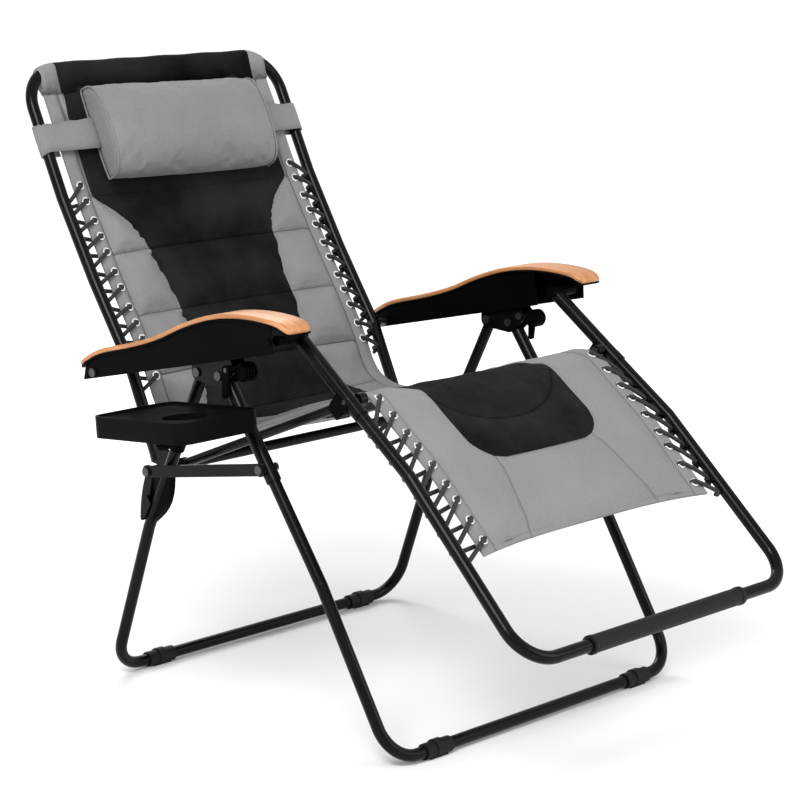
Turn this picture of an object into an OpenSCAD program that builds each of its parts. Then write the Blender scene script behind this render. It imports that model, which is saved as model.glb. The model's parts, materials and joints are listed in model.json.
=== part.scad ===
// Folding zero gravity recliner: two U-shaped leg frames, a back frame and a leg-rest frame that
// recline together through the armrests and the seat bars, a laced-in fabric sling, a head pillow
// and a clip-on side tray.
//
// Axes: +X is the sitter's left, -Y is the way the sitter faces, +Z is up.
// Origin: on the floor, under the middle of the bounding box of the chair and its tray.
// Everything is drawn about the chair's mid plane, with each side part drawn once at +X and
// mirrored for the right side, and then moved to that origin by place.

/* [Legs] */
// Distance between the centre lines of the two ground bars
leg_spread = 706; // [690:1:720]
// Half width of the leg frames, to the tube centre line
leg_w = 362; // [361:1:364]
// Outer diameter of the frame tubes
tube_d = 22; // [20:1:22]
// Outer diameter of the upper front leg tubes
upper_leg_d = 24; // [23:1:24]

/* [Back frame] */
// Half width of the back frame, to the tube centre line
back_w = 307; // [307:1:308]
// Height of the head bar above the floor
head_h = 1073; // [1040:1:1090]

/* [Leg-rest frame] */
// Half width of the leg-rest frame at the armrest
rest_top_w = 320; // [320:1:322]
// Half width of the leg-rest frame at the foot bar
rest_foot_w = 339; // [332:1:339]
// Height of the foot bar above the floor
foot_h = 236; // [220:1:260]
// Diameter of the outer sleeve at the top of the leg-rest frame
sleeve_d = 25; // [24:1:25]

/* [Sling] */
// Thickness of the padded fabric
fabric_t = 8; // [6:1:9]
// Half width of the back sling
back_sling_w = 276; // [270:1:280]
// Half width of the leg-rest sling
leg_sling_w = 288; // [280:1:288]

/* [Armrests] */
// Width of the armrest top
arm_top_w = 60; // [58:1:60]
// Thickness of the wood-look top strip
arm_top_t = 8; // [6:1:8]

/* [Side tray] */
// Width of the tray, across the chair
tray_w = 176; // [160:1:200]
// Length of the tray, along the chair
tray_l = 235; // [200:1:250]
// Depth of the tray's skirt
tray_h = 36; // [30:1:40]

/* [Pillow] */
// Width of the head pillow
pillow_w = 400; // [340:1:420]
// Thickness of the head pillow in front of the sling
pillow_t = 68; // [50:1:72]

/* [Hidden] */
$fn = 48;

// Radii and fits
tube_r = tube_d / 2;
upper_leg_r = upper_leg_d / 2;
sleeve_r = sleeve_d / 2;
fit = 0.05;            // radial clearance of a running or slip fit
bolt_r = 4;
bore_r = bolt_r + fit;
cross_r = 9.5;         // rear cross tube
seat_bar_r = 8;
seat_bar_w = 299.5;
foot_r = 13.75;        // rubber foot sleeves, which stand on the floor
ground_z = foot_r;

// Pivots in the side view, as [y, z]
front_pivot = [40, 601];     // front leg on the lock bracket
rear_pivot = [95, 600];      // rear leg on the lock bracket
link_pivot = [-64, 457];     // side link on the front leg
rear_joint = [228, 405];     // side link, back frame and seat bar
arm_rear = [358, 565];       // armrest on the back frame
arm_front = [-98, 678];      // armrest on the leg-rest frame
knee = [-220, 588];          // seat bar on the leg-rest frame
lock_pivot = [12, 616];      // lock lever

// Side-view centre lines of the frames, as [y, z]
front_bend = [-191, 280];
front_ground = [-leg_spread / 2, ground_z];
rear_bend = [248, 300];
rear_ground = [leg_spread / 2, ground_z];
back_line = [[285, 408], arm_rear, [455, 708], [541, 850], [652.5, head_h]];
rest_bend = [-360, 487];
rest_foot = [-626, foot_h];

// Slabs across the width: each moving part keeps to its own range of x
bracket_in = 347;
bracket_out = 374.5;
plate_t = 2.5;
link_in = 376.5;
link_t = 5;
arm_in = 337.5;
arm_wall = 3;
deck_t = 2;
arm_out = 388;
lever_in = 382.2;
bolt_out = 395.3;            // outer face of the armrest pivot bolts
tray_in = 392;               // inner edge of the side tray
head_sleeve_r = 15;          // fabric sleeve round the head bar
grip_bead_r = 16;            // beads at the ends of the foot grip

// Moves the part so that its origin is under the middle of its bounding box
place = [(tray_in + tray_w - bolt_out) / 2,
    (grip_bead_r - rest_foot[0] - back_line[4][0] - head_sleeve_r) / 2, 0];

// Colours
frame_black = [0.10, 0.10, 0.11];
plastic_black = [0.07, 0.07, 0.08];
rubber_black = [0.05, 0.05, 0.05];
fabric_grey = [0.58, 0.58, 0.58];
fabric_black = [0.12, 0.12, 0.13];
wood_brown = [0.78, 0.50, 0.32];
bare_steel = [0.75, 0.75, 0.77];

// ---- geometry helpers ----

// Draw at +X, or mirrored to -X
module side(s) {
    mirror([s < 0 ? 1 : 0, 0, 0]) children();
}

// Draw on both sides
module both() {
    side(1) children();
    side(-1) children();
}

// A plate with a side-view outline of [y, z] points, from x = x0 to x1
module plate(x0, x1, outline) {
    translate([x0, 0, 0]) rotate([90, 0, 90]) linear_extrude(x1 - x0) polygon(outline);
}

// A round bar along X at p = [y, z]
module x_bar(p, r, x0, x1) {
    translate([x0, p[0], p[1]]) rotate([0, 90, 0]) cylinder(r = r, h = x1 - x0);
}

// A straight bar between two 3D points
module rod(a, b, r) {
    d = b - a;
    len = norm(d);
    translate(a) rotate([0, acos(d[2] / len), atan2(d[1], d[0])]) cylinder(r = r, h = len);
}

// A bar through a list of 3D points, with ball corners a hair larger than the bar so that each
// joint closes; the first point joins on to a bend through a short collar
ball_rise = 0.15;
module bent_rod(points, r) {
    d = (points[1] - points[0]) / norm(points[1] - points[0]);
    for (i = [0 : len(points) - 2]) rod(points[i], points[i + 1], r);
    for (i = [1 : 1 : len(points) - 2]) translate(points[i]) sphere(r = r + ball_rise);
    rod(points[0] - d, points[0] + d, r + ball_rise);
}

// The closed end of a U frame: a cross bar and two bends, seen along the direction of its sides
module u_end(w, p, angle, bend, r) {
    translate([0, p[0], p[1]]) rotate([angle, 0, 0]) {
        translate([-(w - bend), 0, 0]) rotate([0, 90, 0]) cylinder(r = r, h = 2 * (w - bend));
        both() translate([w - bend, bend, 0]) rotate([0, 0, -90])
            rotate_extrude(angle = 90) translate([bend, 0]) circle(r = r);
        both() translate([w - bend - 1, 0, 0]) rotate([0, 90, 0]) cylinder(r = r + ball_rise, h = 2);
    }
}

// Direction of a side-view line, in degrees and as a unit vector
function line_angle(a, b) = atan2(b[1] - a[1], b[0] - a[0]);
function unit(a) = [cos(a), sin(a)];
// The point at distance d from a towards b
function along(a, b, d) = a + d * unit(line_angle(a, b));
// A side-view point placed at x
function at_x(x, p) = [x, p[0], p[1]];

// Smooth curve through knots (Catmull-Rom), n points per span
function spline_point(p0, p1, p2, p3, t) = 0.5 * (2 * p1 + (p2 - p0) * t
    + (2 * p0 - 5 * p1 + 4 * p2 - p3) * t * t + (3 * p1 - p0 - 3 * p2 + p3) * t * t * t);
function knot(k, i) = i < 0 ? 2 * k[0] - k[1] : i >= len(k) ? 2 * k[len(k) - 1] - k[len(k) - 2] : k[i];
function spline(k, n) = concat([for (i = [0 : len(k) - 2]) for (j = [0 : n - 1])
    spline_point(knot(k, i - 1), k[i], k[i + 1], knot(k, i + 2), j / n)], [k[len(k) - 1]]);
// A curve moved sideways by d, to the left of its direction of travel
function tangent(c, i) = let(a = c[max(i - 1, 0)], b = c[min(i + 1, len(c) - 1)]) (b - a) / norm(b - a);
function offset_curve(c, d) = [for (i = [0 : len(c) - 1]) c[i] + d * [-tangent(c, i)[1], tangent(c, i)[0]]];
function reversed(c) = [for (i = [len(c) - 1 : -1 : 0]) c[i]];
// The closed outline of a band from offset d0 to d1 along a curve
function band(c, d0, d1) = concat(offset_curve(c, d0), reversed(offset_curve(c, d1)));

// ---- front legs ----

front_dir = line_angle(front_ground, front_bend);
leg_bend_r = 60;
upper_end = along(link_pivot, front_bend, 26);    // lower end of the upper tube

module front_leg_frame() {
    inserted = along(link_pivot, front_bend, 12.2);
    translate(place) color(frame_black) {
        u_end(leg_w, front_ground, front_dir, leg_bend_r, tube_r - 0.5);
        both() bent_rod([at_x(leg_w, along(front_ground, front_bend, leg_bend_r)),
            at_x(leg_w, front_bend), at_x(leg_w, inserted)], tube_r - 0.5);
    }
}

module front_leg_upper(s) {
    top = along(front_pivot, front_bend, -12);
    collar = along(link_pivot, front_bend, 11);
    translate(place) color(frame_black) side(s) difference() {
        union() {
            rod(at_x(leg_w, top), at_x(leg_w, upper_end), upper_leg_r);
            rod(at_x(leg_w, collar), at_x(leg_w, along(upper_end, front_pivot, 0.8)), upper_leg_r + 1.2);
        }
        rod(at_x(leg_w, along(link_pivot, front_bend, 12)),
            at_x(leg_w, along(link_pivot, front_bend, 60)), tube_r - 0.5 + fit);
        x_bar(front_pivot, bore_r, leg_w - 20, leg_w + 20);
        x_bar(link_pivot, bore_r, leg_w - 20, leg_w + 20);
    }
}

// A rubber sleeve with a raised pad round a ground bar
foot_x = 258;
foot_len = 60;
module foot_sleeve(p) {
    both() difference() {
        union() {
            x_bar(p, foot_r, foot_x - foot_len / 2, foot_x + foot_len / 2);
            translate([foot_x - foot_len / 3, p[0] - 9, 0]) cube([2 * foot_len / 3, 18, foot_r]);
            x_bar(p + [0, 1], foot_r + 1.5, foot_x - 8, foot_x + 8);
        }
        x_bar(p, tube_r - 0.5 + fit, foot_x - foot_len, foot_x + foot_len);
        translate([foot_x - foot_len, p[0] - 30, -10]) cube([2 * foot_len, 60, 10]);
    }
}

module front_feet() {
    translate(place) color(rubber_black) foot_sleeve(front_ground);
}

// ---- rear legs ----

rear_dir = line_angle(rear_ground, rear_bend);

module rear_leg_frame() {
    top = along(rear_pivot, rear_bend, -11);
    translate(place) color(frame_black) difference() {
        union() {
            u_end(leg_w, rear_ground, rear_dir, leg_bend_r, tube_r - 0.5);
            both() bent_rod([at_x(leg_w, along(rear_ground, rear_bend, leg_bend_r)),
                at_x(leg_w, rear_bend), at_x(leg_w, top)], tube_r - 0.5);
        }
        both() x_bar(rear_pivot, bore_r, leg_w - 20, leg_w + 20);
    }
}

// Fins in front of the rear legs, opposite the latch hooks
fin_from = 16;
fin_to = 128;
fin_depth = 26;
module rear_leg_fins() {
    d = unit(line_angle(rear_bend, rear_pivot));
    n = [-d[1], d[0]];
    steps = 8;
    translate(place) color(plastic_black) both() difference() {
        plate(355, 369, concat([rear_bend + fin_to * d, rear_bend + fin_from * d], [for (i = [0 : steps])
            rear_bend + (fin_from + (fin_to - fin_from) * i / steps) * d
                + (9 + (fin_depth - 9) * sin(180 * i / steps)) * n]));
        rod(at_x(leg_w, rear_bend), at_x(leg_w, rear_bend + (fin_to + 10) * d), tube_r - 0.5 + fit);
    }
}

module rear_feet() {
    translate(place) color(rubber_black) foot_sleeve(rear_ground);
}

// ---- lock brackets, which carry both legs and slide under the armrests ----

// Height of the armrest's straight lower edge at y
function arm_bottom(y) = 558 + (343 - y) * 113 / 501;

module bracket_plate(x0) {
    x1 = x0 + plate_t;
    x_bar(rear_pivot, 14, x0, x1);
    x_bar(front_pivot, 19, x0, x1);
    x_bar(lock_pivot, 11, x0, x1);
    plate(x0, x1, [rear_pivot + [0, -14], rear_pivot + [14, 0], [108, arm_bottom(108) + 18],
        [26, arm_bottom(26) + 18], lock_pivot + [-8, 8], lock_pivot + [-10, -5], front_pivot + [-13, -14],
        front_pivot + [0, -19]]);
}

module lock_bracket(s) {
    translate(place) color(frame_black) side(s) difference() {
        union() {
            bracket_plate(bracket_in);
            bracket_plate(bracket_out);
        }
        for (p = [front_pivot, rear_pivot, lock_pivot]) x_bar(p, bore_r, 340, 385);
        for (i = [0, 1]) x_bar(block_bolt(i), block_bolt_r + fit, 340, 385);
    }
}

// The two small bolts through each slide block
block_bolt_r = 2.5;
function block_bolt(i) = [45 + 45 * i, arm_bottom(45 + 45 * i) + 12];

module bracket_bolts() {
    translate(place) color(bare_steel) both() {
        for (p = [front_pivot, rear_pivot]) {
            x_bar(p, bolt_r, 343.2, 380.8);
            x_bar(p, 7.5, 343.2, 346.8);
            x_bar(p, 8, 377.2, 380.8);
        }
        x_bar(lock_pivot, bolt_r, 343.2, 388);
        x_bar(lock_pivot, 7, 343.2, 346.8);
        for (i = [0, 1]) {
            x_bar(block_bolt(i), block_bolt_r, 344.2, 379.8);
            x_bar(block_bolt(i), 5, 344.2, 346.8);
            x_bar(block_bolt(i), 5, 377.2, 379.8);
        }
    }
}

// Nylon blocks that guide each bracket inside the armrest channel
module slide_blocks() {
    y0 = 32;
    y1 = 104;
    translate(place) color(plastic_black) both() difference() {
        plate(bracket_in + plate_t + 0.2, bracket_out - 0.2, [[y0, arm_bottom(y0) + 5],
            [y1, arm_bottom(y1) + 5], [y1, arm_bottom(y1) + 22], [y0, arm_bottom(y0) + 22]]);
        for (i = [0, 1]) x_bar(block_bolt(i), block_bolt_r + fit, 340, 385);
    }
}

// Ribbed housings of the lock cams
housing_centre = [-14, 614];
module lock_housings() {
    translate(place) color(plastic_black) both() {
        x_bar(housing_centre, 14, 350.2, 377);
        for (i = [0 : 3]) x_bar(housing_centre, 16.5, 352 + 6.2 * i, 354.8 + 6.2 * i);
    }
}

// Drop-shaped lever that turns on the lock bolt
module lock_lever(s) {
    tip = lock_pivot + [3, -43];
    translate(place) color(plastic_black) side(s) difference() {
        union() {
            x_bar(lock_pivot, 8.5, lever_in, lever_in + 5);
            x_bar(tip, 6, lever_in, lever_in + 5);
            plate(lever_in, lever_in + 5, [lock_pivot + [-8.2, -2], tip + [-5.9, 1], tip + [5.9, 1],
                lock_pivot + [8.2, -2]]);
        }
        x_bar(lock_pivot, bore_r, 370, 400);
    }
}

// ---- side links ----

module side_link(s) {
    n = [-sin(line_angle(link_pivot, rear_joint)), cos(line_angle(link_pivot, rear_joint))];
    half = 10.5;
    translate(place) color(frame_black) side(s) difference() {
        union() {
            x_bar(link_pivot, half + 1.5, link_in, link_in + link_t);
            x_bar(rear_joint, half + 1.5, link_in, link_in + link_t);
            plate(link_in, link_in + link_t, [link_pivot + half * n, link_pivot - half * n,
                rear_joint - half * n, rear_joint + half * n]);
        }
        x_bar(link_pivot, bore_r, 360, 400);
        x_bar(rear_joint, bore_r, 360, 400);
    }
}

module link_bolts() {
    translate(place) color(bare_steel) both() {
        x_bar(link_pivot, bolt_r, 344, 386);
        x_bar(link_pivot, 7.5, 344, 348.5);
        x_bar(link_pivot, 9, 374.3, 376.3);
        x_bar(link_pivot, 8, 381.8, 386);
    }
}

// ---- rear joint: the cross tube, its bolts and the hooks that catch the rear legs ----

module rear_cross_tube() {
    translate(place) color(frame_black) difference() {
        x_bar(rear_joint, cross_r, -290, 290);
        both() x_bar(rear_joint, bore_r, 240, 300);
    }
}

module cross_bolts() {
    translate(place) color(bare_steel) both() {
        x_bar(rear_joint, bolt_r, 242, 386);
        x_bar(rear_joint, 8, 381.8, 386);
    }
}

spacer_r = 7;
module cross_spacers() {
    translate(place) color(frame_black) both() difference() {
        x_bar(rear_joint, spacer_r, 319, 376.2);
        x_bar(rear_joint, bore_r, 310, 380);
    }
}

// A saddle that hangs from the rear joint and straddles the back of each rear leg
hook_len = 96;
module latch_hook(s) {
    d = unit(line_angle(rear_pivot, rear_bend));
    n = [d[1], -d[0]];
    gap = (rear_pivot - rear_joint) * n;     // from the rear joint to the leg's centre line
    leg_back = gap - tube_r;                 // to the back of the leg
    steps = 8;
    translate(place) color(frame_black) side(s) difference() {
        union() {
            x_bar(rear_joint, 8.8, 351, 373);
            plate(351, 373, concat([for (i = [0 : steps]) rear_joint + hook_len * i / steps * d
                + (-9.5 + (leg_back + 5) * pow(i / steps, 2)) * n],
                [rear_joint + hook_len * d + (leg_back - 0.6) * n,
                rear_joint + 52 * d + (leg_back - 0.6) * n, rear_joint + 5.5 * n]));
            for (x = [348.4, 373]) plate(x, x + 2.6, [rear_joint + 44 * d + (leg_back - 8) * n,
                rear_joint + (hook_len - 6) * d + (leg_back - 5) * n,
                rear_joint + (hook_len - 10) * d + (leg_back + 6) * n, rear_joint + 52 * d + (leg_back + 8) * n]);
        }
        x_bar(rear_joint, spacer_r + fit, 340, 380);
    }
}

// ---- back frame and its sling ----

back_bend_r = 75;
head = back_line[4];
head_dir = line_angle(head, back_line[3]);

module back_frame() {
    translate(place) color(frame_black) difference() {
        union() {
            u_end(back_w, head, head_dir, back_bend_r, tube_r);
            both() bent_rod([at_x(back_w, along(head, back_line[3], back_bend_r)),
                at_x(back_w, back_line[3]), at_x(back_w, back_line[2]), at_x(back_w, back_line[1]),
                at_x(back_w, back_line[0])], tube_r);
        }
        both() x_bar(arm_rear, bore_r, back_w - 20, back_w + 20);
    }
}

// A sleeve round the lower end of the back tube, with an arm forward to the rear joint
module back_knuckle(s) {
    low = back_line[0];
    up = along(low, arm_rear, 42);
    translate(place) color(frame_black) side(s) difference() {
        union() {
            rod(at_x(back_w, along(low, arm_rear, -3)), at_x(back_w, up), tube_r + 2.5);
            x_bar(rear_joint, 14, 308.6, 317.6);
            plate(308.6, 317.6, [rear_joint + [0, -14], low + [8, -6], up + [6, 0],
                rear_joint + [-6, 13]]);
        }
        rod(at_x(back_w, along(low, arm_rear, -0.2)), at_x(back_w, along(low, arm_rear, 90)), tube_r + fit);
        x_bar(rear_joint, bore_r, 300, 330);
    }
}

// Centre line of the back sling in the side view, from the head bar down to the crease
back_curve = spline([[630, 1028], [598, 964], [541, 850], [455, 708], [390, 610], [352, 545], [330, 500]], 4);

module back_sling() {
    sleeve_w = 232;
    translate(place) color(fabric_grey) union() {
        plate(-back_sling_w, back_sling_w, band(back_curve, -fabric_t / 2, fabric_t / 2));
        difference() {
            union() {
                x_bar(head, head_sleeve_r, -sleeve_w, sleeve_w);
                plate(-sleeve_w, sleeve_w, band([along(head, back_curve[0], 13), back_curve[0], back_curve[1]],
                    -fabric_t / 2, fabric_t / 2));
            }
            x_bar(head, tube_r + 0.6, -sleeve_w - 9, sleeve_w + 9);
        }
    }
}

// Elastic lacing: short cords from the sling's edge to the inner side of the frame tube
lace_r = 2.5;
back_laces = 12;
function back_lace_point(i) = let(c = back_curve, t = 5 + i * (len(c) - 6) / (back_laces - 1),
    k = min(floor(t), len(c) - 2)) c[k] + (t - k) * (c[k + 1] - c[k]);

module back_lacing(s) {
    translate(place) color(rubber_black) side(s) for (i = [0 : back_laces - 1]) {
        rod(at_x(back_sling_w + 1, back_lace_point(i)), at_x(292, back_lace_point(i) + [2, 5]), lace_r);
    }
}

module grommet(x, p, angle, lift) {
    translate(at_x(x, p)) rotate([angle, 0, 0]) translate([0, 0, lift]) difference() {
        cylinder(r = 7, h = 1.5);
        translate([0, 0, -1]) cylinder(r = 4, h = 4);
    }
}

module back_grommets() {
    translate(place) color(bare_steel) both() for (i = [0 : back_laces - 1]) {
        p = back_lace_point(i);
        q = back_lace_point(min(i + 0.3, back_laces - 1));
        r = back_lace_point(max(i - 0.3, 0));
        grommet(264, p, line_angle(q, r) - 180, -fabric_t / 2 - 3.2);
    }
}

// ---- seat bars and the seat part of the sling ----

// Flanged bushes that turn between the rear cross bolts and the seat bars
bush_r = 6.5;
module seat_pivot_bushes() {
    translate(place) color(bare_steel) both() difference() {
        union() {
            x_bar(rear_joint, bush_r, 291, 308);
            x_bar(rear_joint, 9.5, 290.3, 291.7);
        }
        x_bar(rear_joint, bore_r, 280, 320);
    }
}

module seat_bar(s) {
    translate(place) color(frame_black) side(s) difference() {
        union() {
            rod(at_x(seat_bar_w, rear_joint), at_x(seat_bar_w, knee), seat_bar_r);
            x_bar(rear_joint, 12, 292, 307.4);
            x_bar(knee, 11, 292, 307.4);
        }
        x_bar(rear_joint, bush_r + fit, 280, 320);
        x_bar(knee, bore_r, 280, 320);
        for (x = [280, 307.5]) translate([x, -300, 350]) cube([12, 600, 300]);
    }
}

// Centre line of the seat part of the sling
seat_curve = spline([[306, 474], [262, 459], [200, 462], [130, 476], [40, 508], [-60, 546], [-150, 575],
    [-196, 590]], 4);

module seat_sling() {
    translate(place) color(fabric_black)
        plate(-back_sling_w, back_sling_w, band(seat_curve, -fabric_t / 2, fabric_t / 2));
}

// ---- leg-rest frame and its sling ----

module knee_pivot_bolts() {
    translate(place) color(bare_steel) both() {
        x_bar(knee, bolt_r, 288, 338);
        x_bar(knee, 7, 288, 291.5);
    }
}

rest_dir = line_angle(rest_foot, rest_bend);
rest_bend_r = 65;
sleeve_gap = 13.4;     // from the upper end of each sleeve to the armrest pivot
collar_d = 36;         // how far below the knee the sleeve stops and the inner tube goes on
// Half width of the leg-rest frame at a side-view point
function rest_w(p) = rest_top_w
    + (rest_foot_w - rest_top_w) * norm(p - arm_front) / norm(rest_foot - arm_front);

top_3d = at_x(rest_w(arm_front), arm_front);
knee_3d = at_x(rest_w(knee), knee);
bend_3d = at_x(rest_w(rest_bend), rest_bend);
// The point at distance d from the knee towards the bend, or towards the armrest
function below_knee(d) = knee_3d + d * (bend_3d - knee_3d) / norm(bend_3d - knee_3d);
function above_knee(d) = knee_3d + d * (top_3d - knee_3d) / norm(top_3d - knee_3d);

module leg_rest_frame() {
    foot_side = along(rest_foot, rest_bend, rest_bend_r);
    translate(place) color(frame_black) {
        u_end(rest_foot_w, rest_foot, rest_dir, rest_bend_r, tube_r);
        both() bent_rod([at_x(rest_foot_w, foot_side), bend_3d, below_knee(20.5)], tube_r);
    }
}

module rest_sleeve(s) {
    top = norm(top_3d - knee_3d) - sleeve_gap;
    translate(place) color(frame_black) side(s) difference() {
        union() {
            rod(knee_3d, above_knee(top), sleeve_r);
            translate(knee_3d) sphere(r = sleeve_r + ball_rise);
            rod(knee_3d, below_knee(collar_d), sleeve_r);
            rod(below_knee(18), below_knee(collar_d + 0.5), sleeve_r + 0.6);
        }
        rod(below_knee(20), below_knee(90), tube_r + fit);
        x_bar(knee, bore_r, 300, 345);
    }
}

// A block that hooks over the sleeve and covers the front end of each seat bar
module knee_clevis(s) {
    up = line_angle(knee, arm_front);
    down = line_angle(knee, rear_joint);
    a = along(knee, arm_front, 22);
    b = along(knee, rest_bend, 12);
    translate(place) color(plastic_black) side(s) difference() {
        plate(309, 338.4, [a, a + 26 * unit(up - 90), knee + 38 * unit(down - 4), knee + 36 * unit(down - 40),
            b + 17 * unit(up - 90), b]);
        rod(knee_3d, above_knee(60), sleeve_r + fit);
        translate(knee_3d) sphere(r = sleeve_r + ball_rise + fit);
        rod(knee_3d, below_knee(60), sleeve_r + 0.6 + fit);
        x_bar(knee, bore_r, 300, 345);
    }
}

// Cast knuckles at the top of the sleeves, which the armrests turn round
module arm_knuckles() {
    reach = norm(top_3d - knee_3d);
    translate(place) color(plastic_black) both() {
        x_bar(arm_front, 8.9, 308, 372);
        x_bar(arm_front, 9.4, 342, 350);
        rod(above_knee(reach - sleeve_gap + 0.05), above_knee(reach - 6), 11);
    }
}

grip_w = 195;
module foot_grip() {
    translate(place) color(rubber_black) difference() {
        union() {
            x_bar(rest_foot, 15, -grip_w, grip_w);
            for (s = [-1, 1]) x_bar(rest_foot, grip_bead_r, s * (grip_w - 4) - 4, s * (grip_w - 4) + 4);
        }
        x_bar(rest_foot, tube_r + fit, -grip_w - 5, grip_w + 5);
    }
}

// Centre line of the leg-rest sling, from the knee to the front hem
leg_curve = spline([[-226, 586], [-290, 540], rest_bend, [-430, 421], [-483, 371]], 5);

module leg_sling() {
    translate(place) color(fabric_grey)
        plate(-leg_sling_w, leg_sling_w, band(leg_curve, -fabric_t / 2, fabric_t / 2));
}

leg_laces = 9;
function leg_lace_point(i) = let(c = leg_curve, t = 2.2 + i * (len(c) - 4.6) / (leg_laces - 1),
    k = min(floor(t), len(c) - 2)) c[k] + (t - k) * (c[k + 1] - c[k]);

module leg_lacing(s) {
    translate(place) color(rubber_black) side(s) for (i = [0 : leg_laces - 1]) {
        p = leg_lace_point(i);
        rod(at_x(leg_sling_w + 1, p), at_x(rest_w(p) - sleeve_r - 1.5, p + [4, 4]), lace_r);
    }
}

module leg_grommets() {
    translate(place) color(bare_steel) both() for (i = [0 : leg_laces - 1]) {
        q = leg_lace_point(i + 0.3);
        r = leg_lace_point(max(i - 0.3, 0));
        grommet(281, leg_lace_point(i), line_angle(q, r), fabric_t / 2 + 0.2);
    }
}

// ---- armrests ----

module arm_pivot_bolts() {
    translate(place) color(bare_steel) both() {
        x_bar(arm_rear, bolt_r, 293.2, 394);
        x_bar(arm_rear, 7, 293.2, 295.8);
        x_bar(arm_rear, 8, bolt_out - 4, bolt_out);
        x_bar(arm_rear, 8, 319, 337);
    }
}

// Top edge of the armrest in the side view, from the back to the front
arm_curve = spline([[400, 577], [372, 594], [333, 611], [245, 634], [180, 655], [112, 684], [47, 705],
    [-10, 715], [-68, 718], [-122, 714], [-150, 702]], 3);

// The side wall's outline between two places along the armrest
function wall_outline(y_front) = concat([for (p = offset_curve(arm_curve, arm_top_t))
    if (p[0] > y_front && p[0] < 386) p], [[y_front, arm_bottom(y_front)], [386, arm_bottom(386)]]);

module armrest_channel(s) {
    translate(place) color(plastic_black) side(s) difference() {
        union() {
            plate(arm_out, arm_out + arm_wall, wall_outline(-108));
            plate(arm_in, arm_in + arm_wall, wall_outline(-40));
            // the deck under the top strip ties the two walls together
            plate(arm_in + arm_wall / 2, arm_out + arm_wall / 2,
                band([for (p = arm_curve) if (p[0] < 386) p], arm_top_t, arm_top_t + deck_t));
            // a small bolt head marks the front pivot
            x_bar(arm_front, 7, arm_out + arm_wall, arm_out + arm_wall + 2.5);
        }
        x_bar(arm_rear, bore_r, 330, 395);
    }
}

module armrest_top(s) {
    x0 = bolt_out - 0.5 - arm_top_w;
    translate(place) color(wood_brown) side(s)
        plate(x0, x0 + arm_top_w, band(arm_curve, 0, arm_top_t - 0.1));
}

// ---- head pillow ----

pillow_mid = [589, 947];
pillow_half = 90;
pillow_dir = line_angle(back_line[3], head);

// Section of the pillow: flat behind, round in front
pillow_outline = concat([[-pillow_half, 9], [pillow_half, 9]],
    [for (i = [0 : 16]) [pillow_half * cos(180 * i / 16), 12 + (pillow_t - 6) * pow(sin(180 * i / 16), 0.7)]]);

module pillow_frame() {
    translate([0, pillow_mid[0], pillow_mid[1]]) rotate([pillow_dir, 0, 0]) children();
}

module head_pillow() {
    translate(place) color(fabric_grey) pillow_frame()
        translate([-pillow_w / 2, 0, 0]) rotate([90, 0, 90]) linear_extrude(pillow_w) polygon(pillow_outline);
}

// Straps that run from the pillow's ends round the side tubes
module pillow_straps() {
    strap = 42;
    translate(place) color(fabric_grey) both() pillow_frame() {
        difference() {
            translate([back_w, strap / 2, 0]) rotate([90, 0, 0]) cylinder(r = tube_r + 3.2, h = strap);
            translate([back_w, strap, 0]) rotate([90, 0, 0]) cylinder(r = tube_r + 1.4, h = 2 * strap);
        }
        translate([pillow_w / 2 + 0.5, -strap / 2, 9.5]) cube([back_w - 12 - pillow_w / 2, strap, 1.6]);
    }
}

// ---- side tray, which slides out of a bracket on the right rear leg ----

tray_tilt = -5.4;
tray_back = 150;
tray_top = [tray_back, 545];

module tray_bracket() {
    clamp = along(rear_pivot, rear_bend, 152);
    d = unit(line_angle(rear_pivot, rear_bend));
    translate(place) color(plastic_black) side(-1) difference() {
        union() {
            rod(at_x(leg_w, clamp - 13 * d), at_x(leg_w, clamp + 13 * d), tube_r + 3);
            rod(at_x(leg_w, clamp), at_x(404, clamp), 8);
            rod(at_x(404, clamp), [404, clamp[0], tray_top[1] - tray_h - 22], 8);
            translate([396, clamp[0] - 48, tray_top[1] - tray_h - 28]) cube([30, 62, 13]);
        }
        rod(at_x(leg_w, along(rear_pivot, rear_bend, 90)), at_x(leg_w, along(rear_pivot, rear_bend, 200)),
            tube_r - 0.5 + fit);
        for (dy = [-38, 6]) translate([390, clamp[0] + dy, tray_top[1] - tray_h - 21.5])
            rotate([0, 90, 0]) cylinder(r = 3.5 + fit, h = 60);
    }
}

// The tray's shape in its own frame: x out from the chair, y to the back, z up from the rim's top
module tray_body() {
    corner = 26;
    wall = 3;
    module slab(inset, z0, z1) {
        r = corner - inset;
        translate([0, 0, z0]) linear_extrude(z1 - z0) union() {
            translate([inset + r, -tray_l + inset]) square([tray_w - 2 * inset - 2 * r, tray_l - 2 * inset]);
            translate([inset, -tray_l + inset + r]) square([tray_w - 2 * inset, tray_l - 2 * inset - 2 * r]);
            for (x = [inset + r, tray_w - inset - r]) for (y = [-inset - r, -tray_l + inset + r])
                translate([x, y]) circle(r = r);
        }
    }
    difference() {
        slab(0, -tray_h, 0);
        slab(5, -4, 1);
        slab(wall, -tray_h - 1, -8);
        translate([tray_w * 0.56, -tray_l * 0.66, -20]) cylinder(r = 38, h = 30);
    }
    // the cup well
    translate([tray_w * 0.56, -tray_l * 0.66, -tray_h + 2]) difference() {
        cylinder(r = 40, h = tray_h - 9.5);
        translate([0, 0, 2.5]) cylinder(r = 38, h = tray_h);
    }
}

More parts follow.
